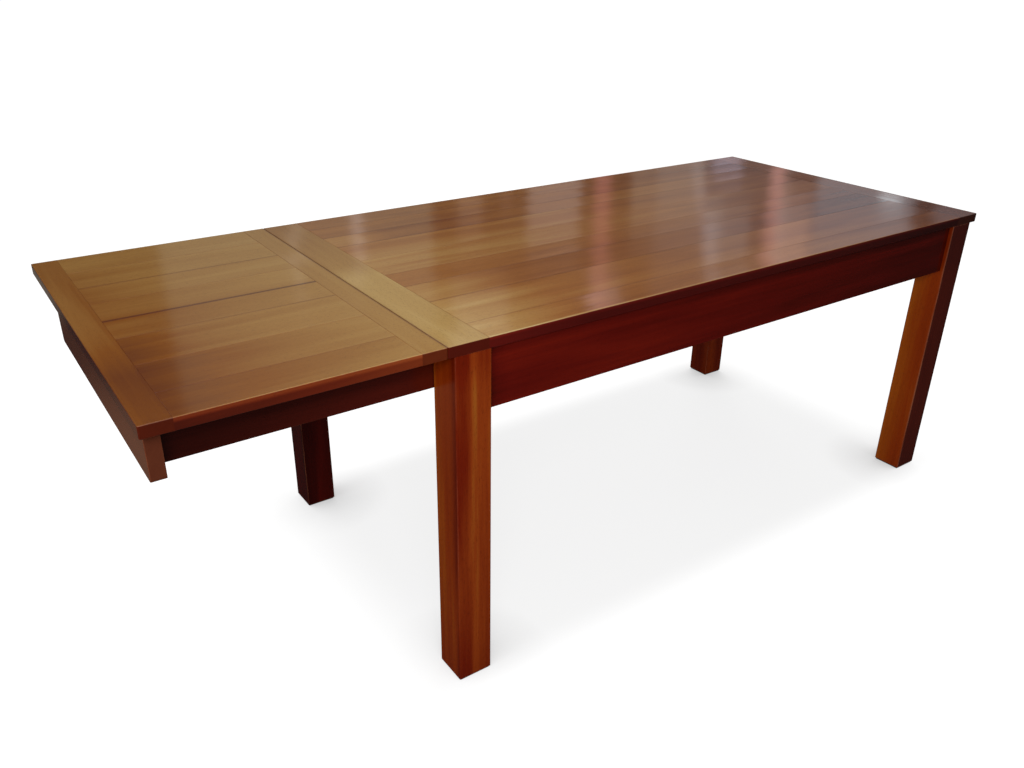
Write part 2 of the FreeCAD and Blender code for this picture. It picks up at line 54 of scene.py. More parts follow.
# ---------------------------------------------------------------- camera
CAMERA_PLACE = (-1.2689, -1.6170, 1.3603)
CAMERA_TURN = (64.143, -0.760, -34.857)      # degrees about X, Y and Z
LENS, SENSOR = 31.12, 36.0                   # mm: focal length, and width of the sensor

# ---------------------------------------------------------------- timber colours
# Tones of one red hardwood, from its darkest figure to its palest.
TOP_TONES = ("#4a1c0a", "#7c4217", "#9a6129", "#b3884b", "#cdb074")
LEAF_TONES = ("#4a1604", "#7f4708", "#9d7135", "#b38e50", "#cdb074")
# The side tones are darker copies for the faces other than the upper ones: painted shade.
TOP_SIDE_TONES = ("#200402", "#3e0804", "#500b06", "#611009", "#75190d")
LEAF_SIDE_TONES = ("#3c0e06", "#66200c", "#7c3012", "#94421c", "#a8582c")
FRAME_TONES = ("#3a0802", "#761d03", "#a03a06", "#bd6012", "#cf8526")
RAIL_TONES = ("#38150c", "#66301e", "#82442c", "#96583a", "#a66c48")
# The runners' tones are dark: painted shade under the leaf.
RUNNER_TONES = ("#1c0604", "#360c06", "#4c130a", "#5f1a0c", "#742412")
SHADED_TONES = ("#240402", "#470903", "#5f0d05", "#771707", "#8c270d")
# A dark copy for the near right leg's front: painted shade.
SHADED_FRONT_TONES = ("#30100a", "#481610", "#56190e", "#6a2412", "#7e321c")
LEG_TONES = ("#420801", "#741a02", "#963c0c", "#ae6820", "#c88c38")
# A paler copy for the far legs' back and right faces, giving them the wood's colour again under the far
# legs' painted shade.
BACK_TONES = ("#6a1a04", "#9a3606", "#b4540e", "#c4701a", "#cf8526")

WEAR_AND_HIGHLIGHT_TONE = "#a8674a"      # bare wood that hands have polished, and a painted highlight along the arrises


def linear(hex_colour):
    """An sRGB hex colour as linear red, green, blue and alpha."""
    channels = [int(hex_colour[n:n + 2], 16) / 255 for n in (1, 3, 5)]
    return [c / 12.92 if c <= 0.04045 else ((c + 0.055) / 1.055) ** 2.4 for c in channels] + [1]


def tone_stops(tones):
    """A ramp's stops through evenly spaced tones."""
    last = len(tones) - 1
    return [(n / last, linear(tone)) for n, tone in enumerate(tones)]


# ---------------------------------------------------------------- materials
def add_node(tree, kind, inputs=None, stops=None, **settings):
    """Add a shader node with its settings, its links or values, and a ramp's stops."""
    made = tree.nodes.new("ShaderNode" + kind)
    for name, value in settings.items():
        setattr(made, name, value)
    for key, value in (inputs or {}).items():
        free = [s for s in made.inputs if s.enabled]
        socket = free[key] if isinstance(key, int) else next(s for s in free if s.name == key)
        if isinstance(value, bpy.types.NodeSocket):
            tree.links.new(value, socket)
        else:
            socket.default_value = value
    if stops:
        ramp = made.color_ramp
        while len(ramp.elements) < len(stops):
            ramp.elements.new(1)
        for element, (place, colour) in zip(ramp.elements, stops):
            element.position, element.color = place, colour
    return made


def new_material(name):
    """A material with an empty node tree, and that tree."""
    material = bpy.data.materials.new(name)
    material.use_nodes = True
    material.node_tree.nodes.clear()
    return material, material.node_tree


def finish_material(tree, shader):
    """Make a shader the material's surface."""
    tree.links.new(shader, add_node(tree, "OutputMaterial").inputs["Surface"])


# Patterns of the timber: length along the grain and width across it in mm, then detail,
# roughness and distortion of the noise. Pores are really 0.2 mm wide and are drawn coarser.
PATTERNS = {"drift": (620, 55, 2, 0.5, 0.6), "figure": (300, 15, 3, 0.6, 1.2),
            "fibre": (60, 1.3, 2, 0.6, 0.2), "pores": (9, 0.7, 1, 0.5, 0.0)}
SHARES = {"drift": 0.42, "figure": 0.15, "fibre": 0.1, "rings": 0.09}   # of each in the tone
SEED_STEPS = (3.17, 5.31, 7.73)   # from one seed's part of the noises to the next one's

# All in mm. Growth rings lie about a pith near the table's middle, which is far enough from
# each piece for them to cut its faces at a slant.
RING_SPACING = 7.0
RING_WANDER = 26.0         # how far a ring strays along the board
PITH_OFFSET = 90.0         # of the pith from the table's origin, across the grain,
PITH_VARIES = 50.0         # and by how much that differs between pieces,
PITH_STEP = 9.1            # as the sine of this many radians to a seed
STRAY = 12.0               # how far a change of colour strays
GLUE_LINE = 3.8            # half the width of a joint's dark line, drawn coarser than it is,
GLUE_LINE_LEAST = 0.6      # and how much of that a line with no strength would have
ARRIS = 1.6                # radius that hands have worn the edges of the frame to

# Ways that faces with a piece's main tones look, of the length that makes each face count whole.
# A piece's main tones and its side tones are lit and shaded copies of one wood: painted light and shade.
UPWARD = (0, 0, 1)
FORWARD = (0, -1, 0)
FORWARD_AND_LEFT = (-1, -1, 0)

# Two values are where a thing begins and where it is whole.
PATCHES = (0.35, 0.6)      # of a noise, for what comes in patches
PORE_OPENS = (0.60, 0.72)  # of a noise
SHOWN_FACING = (0.35, 0.95)       # cosine between a face and the shown way
END_FACING = (0.6, 0.9)    # squared cosine between a face and the grain
PALE_EDGE_TURN = (0.995, 0.92)       # cosine between a face and its rounded edge, for the pale edges: wear and a painted highlight
PORE_DARKNESS = 0.45
END_DARKNESS = 0.55
BEVEL_SAMPLES = 4

# Relief in mm.
FIBRE_RELIEF = 0.01
BRUSH_RELIEF = 0.015       # of ripples that the brush has left,
BRUSH_RIPPLE = 14.0        # this long
FIGURE_RELIEF = 0.16
CUPPING = 0.3

WOOD_ROUGHNESS = 0.45
FILM_ROUGHNESS = 0.2       # of the lacquer on the frame
POLISH_ROUGHNESS = 0.1     # and where it was rubbed down
LACQUER_IOR = 1.5


def timber_patterns(tree, here, grain, seed):
    """The timber's noises and growth rings by name, each from 0 to 1."""
    offset = [seed * step for step in SEED_STEPS]
    found = {}
    for pattern, (along, across, detail, rough, distortion) in PATTERNS.items():
        scale = [1 / ((along if axis == grain else across) * MM) for axis in AXES]
        spot = add_node(tree, "VectorMath", {0: here, 1: scale, 2: offset}, operation="MULTIPLY_ADD")
        found[pattern] = add_node(tree, "TexNoise", {
            "Vector": spot.outputs[0], "Scale": 1.0, "Detail": detail, "Roughness": rough,
            "Distortion": distortion}).outputs["Fac"]

    pith = [0 if axis == grain else (PITH_OFFSET + PITH_VARIES * math.sin(seed * PITH_STEP + n)) * MM
            for n, axis in enumerate(AXES)]
    across_only = [0 if axis == grain else 1 for axis in AXES]
    away = add_node(tree, "VectorMath", {0: here, 1: pith}, operation="ADD")
    flat = add_node(tree, "VectorMath", {0: away.outputs[0], 1: across_only}, operation="MULTIPLY")
    radius = add_node(tree, "VectorMath", {0: flat.outputs[0]}, operation="LENGTH")
    wander = add_node(tree, "Math", {0: found["drift"], 1: RING_WANDER * MM, 2: radius.outputs["Value"]},
                      operation="MULTIPLY_ADD")
    count = add_node(tree, "Math", {0: wander.outputs[0], 1: RING_SPACING * MM}, operation="DIVIDE")
    found["rings"] = add_node(tree, "TexNoise", {"W": count.outputs[0], "Scale": 1.0, "Detail": 2.0},
                              noise_dimensions="1D").outputs["Fac"]
    return found


def paleness(tree, found, split, shift, changes, figuring):
    """How pale the timber is from place to place: 0 is its darkest tone, 1 its palest."""
    # The noises are a half on average, so this starts where the whole averages the middle tone.
    total = 0.5 + shift - figuring * sum(SHARES.values()) / 2
    for pattern, part in SHARES.items():
        total = add_node(tree, "Math", {0: found[pattern], 1: figuring * part, 2: total},
                         operation="MULTIPLY_ADD").outputs[0]
    lifted = 0.5           # a ramp holds nothing below 0, so changes are this much up in it
    for axis, places in changes:
        low, high = places[0][0], places[-1][0]
        strayed = add_node(tree, "Math", {0: found["drift"], 1: STRAY * MM, 2: split.outputs[axis]},
                           operation="MULTIPLY_ADD")
        share = add_node(tree, "MapRange", {
            "Value": strayed.outputs[0], "From Min": (low + STRAY / 2) * MM,
            "From Max": (high + STRAY / 2) * MM})
        stops = [((place - low) / (high - low), [change + lifted] * 3 + [1]) for place, change in places]
        ramp = add_node(tree, "ValToRGB", {"Fac": share.outputs[0]}, stops=stops)
        step = add_node(tree, "Math", {0: ramp.outputs["Color"], 1: -lifted}, operation="ADD")
        total = add_node(tree, "Math", {0: total, 1: step.outputs[0]}, operation="ADD").outputs[0]
    return total


def with_glue_lines(tree, darkness, found, split, cup, joints):
    """A darkness, and with it the broken glue lines at a board's low and high edges."""
    axis, middle, half = cup
    for side, strength in zip((-1, 1), joints):
        gap = add_node(tree, "Math", {0: split.outputs[axis], 1: middle + side * half},
                       operation="SUBTRACT")
        away = add_node(tree, "Math", {0: gap.outputs[0]}, operation="ABSOLUTE")
        faint = strength ** 3         # where it breaks, a weak line all but vanishes
        broken = add_node(tree, "MapRange", {
            "Value": found["drift"], "From Min": PATCHES[0], "From Max": PATCHES[1],
            "To Min": strength, "To Max": faint})
        line = add_node(tree, "MapRange", {
            "Value": away.outputs[0], "From Min": 0.0,
            "From Max": GLUE_LINE * (GLUE_LINE_LEAST + strength) * MM,
            "To Min": broken.outputs[0], "To Max": 0.0})
        darkness = add_node(tree, "Math", {0: darkness, 1: line.outputs[0]},
                            operation="MAXIMUM").outputs[0]
    return darkness


def with_worn_and_highlit_edges(tree, colour, found, normal, wear_and_highlight, pale_edge_width):
    """A colour that has gone pale in patches along the edges: partly wear, partly a painted highlight.
    """
    near = add_node(tree, "Bevel", {"Radius": pale_edge_width * MM}, samples=BEVEL_SAMPLES).outputs[0]
    turn = add_node(tree, "VectorMath", {0: near, 1: normal}, operation="DOT_PRODUCT")
    # The band along the edges that goes pale: partly wear of the lacquer, partly a painted highlight.
    rubbed = add_node(tree, "MapRange", {"Value": turn.outputs["Value"], "From Min": PALE_EDGE_TURN[0],
                                         "From Max": PALE_EDGE_TURN[1], "To Max": wear_and_highlight})
    patchy = add_node(tree, "MapRange", {"Value": found["figure"], "From Min": PATCHES[0],
                                         "From Max": PATCHES[1]})
    paled = add_node(tree, "Math", {0: rubbed.outputs[0], 1: patchy.outputs[0]}, operation="MULTIPLY")
    return add_node(tree, "Mix", {"Factor": paled.outputs[0], "A": colour, "B": linear(WEAR_AND_HIGHLIGHT_TONE)},
                    data_type="RGBA").outputs[2]


def film_normal(tree, here, found, split, arris, cup, relief):
    """The lacquer's surface: ripples of the brush, the figure under it and a board's cupping."""
    peel = add_node(tree, "TexNoise", {"Vector": here, "Scale": 1 / (BRUSH_RIPPLE * MM), "Detail": 1.0})
    film = add_node(tree, "Bump", {"Height": peel.outputs["Fac"], "Distance": BRUSH_RELIEF * relief * MM,
                                   "Normal": arris})
    film = add_node(tree, "Bump", {"Height": found["figure"], "Distance": FIGURE_RELIEF * relief * MM,
                                   "Normal": film.outputs[0]})
    if cup:
        axis, middle, half = cup
        share = add_node(tree, "MapRange", {"Value": split.outputs[axis], "From Min": middle,
                                            "From Max": middle + half}, clamp=False)
        curve = add_node(tree, "Math", {0: share.outputs[0], 1: share.outputs[0]}, operation="MULTIPLY")
        film = add_node(tree, "Bump", {"Height": curve.outputs[0], "Distance": CUPPING * MM,
                                       "Normal": film.outputs[0]})
    return film.outputs[0]


def lacquered_hardwood(name, tones, grain="X", seed=0.0, shift=0.0, changes=(), cup=None, joints=None,
                       roughness=FILM_ROUGHNESS, side_tones=None, shown=UPWARD, figuring=1.0,
                       relief=1.0, wear_and_highlight=0.0, pale_edge_width=ARRIS, haze=0.0):
    """Red hardwood under gloss lacquer, brushed on and rubbed down.

    The eye sees deep colour with growth lines, darker fibres and fine pores along the grain,
    and a clear film over it that mirrors softly. Ends of the grain are darker.
    grain is the axis it runs along, shift moves the whole piece towards pale (+) or dark (-),
    and changes is a list of (axis, [(place in mm, shift), ...]). cup is (axis, middle, half
    width) of a board that has cupped a little since it was planed, and joints how dark the
    glue lines at that board's low and high edges are. side_tones are for every face but the
    one that faces the way of shown; the two sets are lit and shaded copies of one wood, that
    is painted light and shade. figuring says how lively the grain is, relief how far it stands
    out of the surface, and wear_and_highlight how far the edges go pale, partly as the lacquer
    wears through there and partly as a painted highlight, pale_edge_width being how wide that
    is in mm. haze is how much light the fine scratches of a surface in use scatter.
    """
    material, tree = new_material(name)
    here = add_node(tree, "TexCoord").outputs["Object"]
    split = add_node(tree, "SeparateXYZ", {0: here})
    normal = add_node(tree, "NewGeometry").outputs["Normal"]
    found = timber_patterns(tree, here, grain, seed)
    pale = paleness(tree, found, split, shift, changes, figuring)

    wood = add_node(tree, "ValToRGB", {"Fac": pale}, stops=tone_stops(tones)).outputs["Color"]
    # Faces towards shown take tones and the rest side_tones: lit and shaded copies of one wood, that is
    # painted light and shade.
    if side_tones:
        deep = add_node(tree, "ValToRGB", {"Fac": pale}, stops=tone_stops(side_tones))
        toward = add_node(tree, "VectorMath", {0: normal, 1: shown}, operation="DOT_PRODUCT")
        shown_tones_share = add_node(tree, "MapRange", {"Value": toward.outputs["Value"],
                                               "From Min": SHOWN_FACING[0],
                                               "From Max": SHOWN_FACING[1]})
        wood = add_node(tree, "Mix", {"Factor": shown_tones_share.outputs[0], "A": deep.outputs["Color"],
                                      "B": wood}, data_type="RGBA").outputs[2]

    dark = linear(tones[0])
    pore = add_node(tree, "MapRange", {"Value": found["pores"], "From Min": PORE_OPENS[0],
                                       "From Max": PORE_OPENS[1], "To Max": PORE_DARKNESS})
    pored = add_node(tree, "Mix", {"Factor": pore.outputs[0], "A": wood, "B": dark}, data_type="RGBA")
    facing = add_node(tree, "SeparateXYZ", {0: normal})
    squared = add_node(tree, "Math", {0: facing.outputs[grain], 1: 2.0}, operation="POWER")
    end = add_node(tree, "MapRange", {"Value": squared.outputs[0], "From Min": END_FACING[0],
                                      "From Max": END_FACING[1], "To Max": END_DARKNESS})
    darkness = end.outputs[0]
    if cup:
        darkness = with_glue_lines(tree, darkness, found, split, cup, joints)
    colour = add_node(tree, "Mix", {"Factor": darkness, "A": pored.outputs[2], "B": dark},
                      data_type="RGBA").outputs[2]

    arris = normal
    if wear_and_highlight:
        arris = add_node(tree, "Bevel", {"Radius": ARRIS * MM}, samples=BEVEL_SAMPLES).outputs[0]
        colour = with_worn_and_highlit_edges(tree, colour, found, normal, wear_and_highlight, pale_edge_width)
    fibres = add_node(tree, "Bump", {"Height": found["fibre"], "Distance": FIBRE_RELIEF * relief * MM,
                                     "Normal": arris})
    film = film_normal(tree, here, found, split, arris, cup, relief)
    shader = add_node(tree, "BsdfPrincipled", {
        "Base Color": colour, "Roughness": WOOD_ROUGHNESS, "IOR": LACQUER_IOR,
        "Specular IOR Level": haze, "Normal": fibres.outputs[0], "Coat Weight": 1.0,
        "Coat Roughness": roughness, "Coat IOR": LACQUER_IOR, "Coat Normal": film})
    finish_material(tree, shader.outputs[0])
    return material


def zinc_steel():
    """Zinc-plated steel, dulled: pale grey with a soft sheen and darker spots."""
    material, tree = new_material("zinc_plated_steel")
    here = add_node(tree, "TexCoord").outputs["Object"]
    spot_width = 2 * MM
    spots = add_node(tree, "TexNoise", {"Vector": here, "Scale": 1 / spot_width, "Detail": 3.0})
    colour = add_node(tree, "ValToRGB", {"Fac": spots.outputs["Fac"]},
                      stops=[(0.3, linear("#8d8a84")), (0.7, linear("#c2c0ba"))])
    gloss = add_node(tree, "MapRange", {"Value": spots.outputs["Fac"], "To Min": 0.28, "To Max": 0.5})
    shader = add_node(tree, "BsdfPrincipled", {"Base Color": colour.outputs[0], "Metallic": 1.0,
                                               "Roughness": gloss.outputs[0]})
    finish_material(tree, shader.outputs[0])
    return material


def wool_felt():
    """Pressed wool felt: dark brown, matt, with short fibres lying every way."""
    material, tree = new_material("pressed_wool_felt")
    here = add_node(tree, "TexCoord").outputs["Object"]
    tuft_width = 0.8 * MM         # a fibre is really 0.03 mm thick, and is drawn coarser
    fibres = add_node(tree, "TexNoise", {"Vector": here, "Scale": 1 / tuft_width, "Detail": 4.0,
                                         "Distortion": 3.0})
    colour = add_node(tree, "ValToRGB", {"Fac": fibres.outputs["Fac"]},
                      stops=[(0.3, linear("#120c09")), (0.7, linear("#33251d"))])
    fuzz = add_node(tree, "Bump", {"Height": fibres.outputs["Fac"], "Distance": tuft_width / 2})
    shader = add_node(tree, "BsdfPrincipled", {
        "Base Color": colour.outputs[0], "Roughness": 0.95, "Specular IOR Level": 0.1,
        "Sheen Weight": 0.25, "Normal": fuzz.outputs[0]})
    finish_material(tree, shader.outputs[0])
    return material


# ---------------------------------------------------------------- dressing the nodes
def dress(node, material):
    """Give a node of the frame its material."""
    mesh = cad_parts[node].data
    mesh.materials.clear()
    mesh.materials.append(material)


def numbered(stem):
    """The frame's nodes whose names are a stem and a number, in order."""
    return sorted(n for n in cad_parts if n[:len(stem)] == stem and n[len(stem):].isdigit())


def cupped_across(node, axis):
    """A board's axis, middle and half width, in the way that it has cupped."""
    low, high = (corner[AXES.index(axis)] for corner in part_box(node))
    return axis, (low + high) / 2, (high - low) / 2


# Seed of the first piece of each group. Apart from the pieces inside, which share one, no two
# pieces share one, so their figure differs.
TOP_SEED, LEAF_SEED, END_BOARD_SEED, LEG_SEED, INSIDE_SEED = 1.0, 1.37, 20.3, 40.1, 70.1

# How pale (+) or dark (-) each board is, near side to far side.
TOP_BOARD_SHIFTS = (0.06, 0.08, -0.05, -0.06, 0.04, 0.0, -0.04, -0.08, -0.06)
LEAF_BOARD_SHIFTS = (-0.02, -0.01, 0.03, 0.02, 0.03, 0.06, 0.04, 0.0)
# How dark the glue line is at each joint, from the near side.
TOP_GLUE_LINES = (0.4, 0.55, 0.55, 0.4, 0.35, 0.6, 0.6, 0.35)
LEAF_GLUE_LINES = (0.35, 0.2, 0.55, 1.0, 0.25, 0.65, 0.2)
# How the tone of a board changes along it: place in mm and shift. On the top this is mostly
# painted light: every board darkens towards the right end, a painted shade, and the near
# boards are paler by the leaf, a painted sheen.
NEAR_FADE = [(-480, 0.2), (-400, 0.13), (-250, -0.1), (200, -0.16), (500, -0.24), (900, -0.4)]
FAR_FADE = [(-480, 0.05), (0, 0.0), (500, -0.12), (1000, -0.28)]
DARK_FADE = [(-480, 0.05), (-400, 0.0), (-330, -0.16), (-120, -0.14), (40, 0.0), (300, 0.05),
             (500, 0.0), (1000, -0.3)]
EDGE_FADE = [(-480, 0.0), (-200, -0.06), (0, 0.02), (500, -0.08), (1000, -0.28)]
TOP_FADES = [NEAR_FADE] * 3 + [FAR_FADE] * 3 + [DARK_FADE] + [EDGE_FADE] * 2
# The leaf's boards darken towards its outer end, and its near boards grow paler by the join: a painted
# sheen, as on the top's near boards.
LEAF_FADES = [
    [(-1020, -0.36), (-900, -0.24), (-750, -0.12), (-620, 0.04)],
    [(-1020, -0.38), (-900, -0.24), (-750, -0.1), (-620, 0.04)],
    [(-1020, -0.38), (-900, -0.2), (-780, -0.08), (-620, 0.0)],
    [(-1020, -0.22), (-900, -0.21), (-800, -0.12), (-620, -0.02)],
    [(-1020, -0.22), (-900, -0.17), (-800, -0.12), (-620, -0.02)],
    [(-1020, -0.26), (-900, -0.12), (-620, -0.02)],
    [(-1020, -0.16), (-900, -0.07), (-620, 0.0)],
    [(-1020, -0.02), (-620, 0.02)],
]

USED_HAZE = 0.15           # of the table's upper faces
NEAR_HIGHLIGHT = 0.35          # how much paler the near side's edge is, a painted highlight,
NEAR_HIGHLIGHT_DEPTH = 8       # how far down it reaches, mm,
NEAR_HIGHLIGHT_FADE = 5        # and over how much it ends, mm


def dress_boards(stem, first_seed, tones, side_tones, shifts, glue_lines, fades, figuring):
    """Lengthwise boards of the top or leaf, each a different plank."""
    lines = (0, *glue_lines, 0)
    for number, (node, shift, fade) in enumerate(zip(numbered(stem), shifts, fades)):
        changes = [("X", fade)]
        # The near board is paler along its near edge, on its top face and down the upper part of its
        # side: a painted highlight. Below that depth the rest of the board is darker.
        if number == 0:
            low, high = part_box(node)
            edge, under = low.y / MM, high.z / MM - NEAR_HIGHLIGHT_DEPTH
            changes += [("Y", [(edge, NEAR_HIGHLIGHT), (edge + NEAR_HIGHLIGHT_FADE, 0.0)]),
                        ("Z", [(under, -NEAR_HIGHLIGHT), (under + NEAR_HIGHLIGHT_FADE, 0.0)])]
        dress(node, lacquered_hardwood(
            node + "_lacquered", tones, "X", first_seed + number, shift, changes,
            cup=cupped_across(node, "Y"), joints=lines[number:number + 2],
            roughness=POLISH_ROUGHNESS, side_tones=side_tones, figuring=figuring, haze=USED_HAZE))


dress_boards("top_board_", TOP_SEED, TOP_TONES, TOP_SIDE_TONES, TOP_BOARD_SHIFTS, TOP_GLUE_LINES,
             TOP_FADES, figuring=1.0)
dress_boards("leaf_board_", LEAF_SEED, LEAF_TONES, LEAF_SIDE_TONES, LEAF_BOARD_SHIFTS,
             LEAF_GLUE_LINES, LEAF_FADES, figuring=0.55)

# Cross-grained end boards: tones, those of their sides, shift, its change from the near side
# to the far side, and how dark the lines along their low and high edges are. The top's left
# end board is paler at the near side, a painted sheen like that on the near boards, and its
# right one is darker, a painted shade like the boards' right ends.
END_BOARDS = {
    "top_end_board_left": (LEAF_TONES, TOP_SIDE_TONES, 0.0,
                           [(-430, 0.26), (-20, 0.24), (60, 0.0), (430, -0.2)], (0.6, 0.3)),
    "top_end_board_right": (TOP_TONES, TOP_SIDE_TONES, -0.24, [(-430, -0.16), (430, 0.0)], (0.4, 0)),
    "leaf_end_board_inner": (LEAF_TONES, LEAF_SIDE_TONES, 0.0, [(-430, 0.04), (430, -0.02)],
                             (0.3, 0.9)),
    "leaf_end_board_outer": (LEAF_TONES, LEAF_SIDE_TONES, -0.1,
                             [(-430, -0.24), (-250, -0.3), (-100, -0.13), (0, -0.08), (150, -0.06)],
                             (0, 0.15)),
}
for number, (node, finish) in enumerate(END_BOARDS.items()):
    tones, side_tones, shift, fade, lines = finish
    dress(node, lacquered_hardwood(
        node + "_lacquered", tones, "Y", END_BOARD_SEED + number, shift, [("Y", fade)],
        cup=cupped_across(node, "X"), joints=lines, roughness=POLISH_ROUGHNESS,
        side_tones=side_tones, figuring=0.6, haze=USED_HAZE))

# Legs are glued up from staves: tones of the faces that look forward (and to the left, where
# the direction says so) and of the others, that direction, shift, how pale each stave is at
# shares of the leg's width along X and along Y, how that changes up the leg, and how wide the
# arrises go pale. Much of it is painted light and shade. The near right leg's front and the
# far legs' fronts and left sides are darkened, a painted shade, and BACK_TONES give the far
# legs' other faces the wood's colour again. The near left leg's left side grows paler, painted
# light, and the near legs darken at the top beside the apron, a painted shade. The pale
# arrises are partly wear and partly a painted highlight.
LEGS = {
    "leg_near_left": (LEG_TONES, FRAME_TONES, FORWARD, 0.0,
                      [(0.0, -0.18), (0.3, -0.2), (0.46, 0.0), (0.58, 0.05), (0.66, -0.07),
                       (0.8, -0.07), (0.88, -0.12), (1.0, -0.08)],
                      [(0.0, 0.0), (0.1, 0.02), (0.3, 0.2), (0.8, 0.24), (1.0, 0.36)],
                      [(0, -0.08), (140, 0.0), (250, 0.03), (500, 0.0), (660, 0.0), (720, -0.1)],
                      ARRIS),
    # Front in painted shade; its arrises go pale over a wide band, partly wear and partly a painted
    # highlight beside the apron.
    "leg_near_right": (SHADED_FRONT_TONES, FRAME_TONES, FORWARD, 0.0,
                       [(0.0, 0.04), (0.4, 0.0), (1.0, -0.1)],
                       [(0.0, 0.02), (0.15, 0.0), (0.3, 0.02), (0.85, 0.0), (1.0, 0.12)],
                       [(0, -0.03), (250, 0.02), (400, -0.02), (600, -0.02), (640, -0.16)], 5.0),
    # Front and left side in painted shade, the other faces in the wood's own colour.
    "leg_far_left": (SHADED_TONES, BACK_TONES, FORWARD_AND_LEFT, -0.32,
                     [(0.0, 0.0), (0.5, 0.02), (0.55, -0.05), (1.0, -0.05)],
                     [(0.0, 0.0), (0.1, 0.2), (1.0, 0.2)], [(0, 0.0), (760, 0.0)], 3.0),
    "leg_far_right": (FRAME_TONES, BACK_TONES, FORWARD_AND_LEFT, -0.18,
                      [(0.0, 0.0), (0.5, 0.03), (0.55, -0.03), (1.0, 0.0)],
                      [(0.0, 0.0), (1.0, 0.0)], [(0, 0.0), (760, 0.0)], 4.0),
}
for number, (node, finish) in enumerate(LEGS.items()):
    front_tones, other_tones, shown, shift, across, deep, up, pale_edge_width = finish
    low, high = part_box(node)
    changes = []
    for axis, start, end, staves in (("X", low.x, high.x, across), ("Y", low.y, high.y, deep)):
        changes.append((axis, [((start + share * (end - start)) / MM, change)
                               for share, change in staves]))
    dress(node, lacquered_hardwood(
        node + "_lacquered", front_tones, "Z", LEG_SEED + number, shift, [*changes, ("Z", up)],
        side_tones=other_tones, shown=shown, wear_and_highlight=1.0, pale_edge_width=pale_edge_width))

# Aprons, end rail and runners: tones, grain, seed and what else is their own.
# Painted shade under the leaf, deepest at the runners' left end.
RUNNER_SHADE = [("X", [(-1037, -0.3), (-560, 0.05)])]
RAILS = {
    # The near apron's changes are painted light and shade: darker beside the left leg, towards the right
    # end and just under the top, a painted shade; a pale band below that, a painted highlight.
    "apron_near": (SHADED_TONES, "X", 50.1, dict(figuring=1.5, wear_and_highlight=0.4, changes=[
        ("X", [(-474, -0.25), (-455, -0.02), (-430, 0.06), (1000, -0.25)]),
        ("Z", [(627, 0.0), (690, 0.0), (712, 0.09), (722, -0.08)])])),
    "apron_far": (FRAME_TONES, "X", 51.1, dict(shift=-0.12, figuring=1.5, wear_and_highlight=0.4)),
    "apron_left_end": (FRAME_TONES, "Y", 55.1, dict(wear_and_highlight=0.4)),
    "apron_right_end": (FRAME_TONES, "Y", 56.1, dict(wear_and_highlight=0.4)),
    "end_rail": (RAIL_TONES, "Y", 58.1, dict(roughness=POLISH_ROUGHNESS, figuring=0.7, relief=0.1,
                                            wear_and_highlight=0.4)),
    "runner_near": (RUNNER_TONES, "X", 60.1, dict(changes=RUNNER_SHADE, wear_and_highlight=0.3)),
    "runner_far": (RUNNER_TONES, "X", 61.1, dict(changes=RUNNER_SHADE, wear_and_highlight=0.3)),
}
for node, (tones, grain, seed, more) in RAILS.items():
    dress(node, lacquered_hardwood(node + "_lacquered", tones, grain, seed, **more))

INSIDE = {"X": ["guide_near_outer", "guide_near_inner", "guide_far_inner", "guide_far_outer",
                "leaf_pegs"],
          "Y": ["bearer_inner", "bearer_outer", "cross_rail", "tie_rail", "stop_block_near",
                "stop_block_far", "top_buttons", "corner_brace_near_left", "corner_brace_near_right",
                "corner_brace_far_left", "corner_brace_far_right"]}
for grain, nodes in INSIDE.items():
    timber = lacquered_hardwood("plain_hardwood_" + grain, FRAME_TONES, grain, INSIDE_SEED)
    for node in nodes:
        dress(node, timber)
dress("foot_pads", wool_felt())


# ---------------------------------------------------------------- screws
# Sizes in mm.
HEAD_RADIUS = 4.0
SHANK_RADIUS = 2.0
POINT_RADIUS = 0.5
POINT_LENGTH = 4.0
HEAD_EDGE = 0.3            # straight rim above the countersink
CROSS_ARM = 2.3            # the driver's cross, from the middle to an arm's end
CROSS_WIDTH = 0.9
CROSS_DEPTH = 1.7
CROSS_BOTTOM = 0.45        # its size at the bottom, as a share
PUNCH_ABOVE = 1.0          # how far above the head's face the cut begins
SCREW_SEGMENTS = 24
SPIN_STEP = 37             # degrees from screw to screw, as no two stop at one angle
SAME_POINT = 1e-6          # metres between corners of a mesh that are one
SAME_LEVEL = 1e-5          # and between levels that are one


def skinned(outlines):
    """Mesh through outlines of (x, y, z) in mm, one above the other, closed at both ends."""
    made = bmesh.new()
    rings = [[made.verts.new((x * MM, y * MM, z * MM)) for x, y, z in outline] for outline in outlines]
    for lower, upper in zip(rings, rings[1:]):
        for n in range(len(lower)):
            m = (n + 1) % len(lower)
            made.faces.new((lower[n], lower[m], upper[m], upper[n]))
    made.faces.new(rings[0][::-1])
    made.faces.new(rings[-1])
    bmesh.ops.recalc_face_normals(made, faces=made.faces)
    return made


def turned(profile):
    """Mesh turned about Z from (radius, height) points in mm."""
    turns = [math.tau * n / SCREW_SEGMENTS for n in range(SCREW_SEGMENTS)]
    return skinned([[(radius * math.cos(t), radius * math.sin(t), z) for t in turns]
                    for radius, z in profile])


def cross_punch():
    """The shape that the driver's cross takes out of a head, narrower at its bottom."""
    half = CROSS_WIDTH / 2
    corners = [(half, half), (half, CROSS_ARM), (-half, CROSS_ARM), (-half, half), (-CROSS_ARM, half),
               (-CROSS_ARM, -half), (-half, -half), (-half, -CROSS_ARM), (half, -CROSS_ARM),
               (half, -half), (CROSS_ARM, -half), (CROSS_ARM, half)]
    return skinned([[(x * share, y * share, z) for x, y in corners]
                    for z, share in ((-PUNCH_ABOVE, 1.0), (CROSS_DEPTH, CROSS_BOTTOM))])


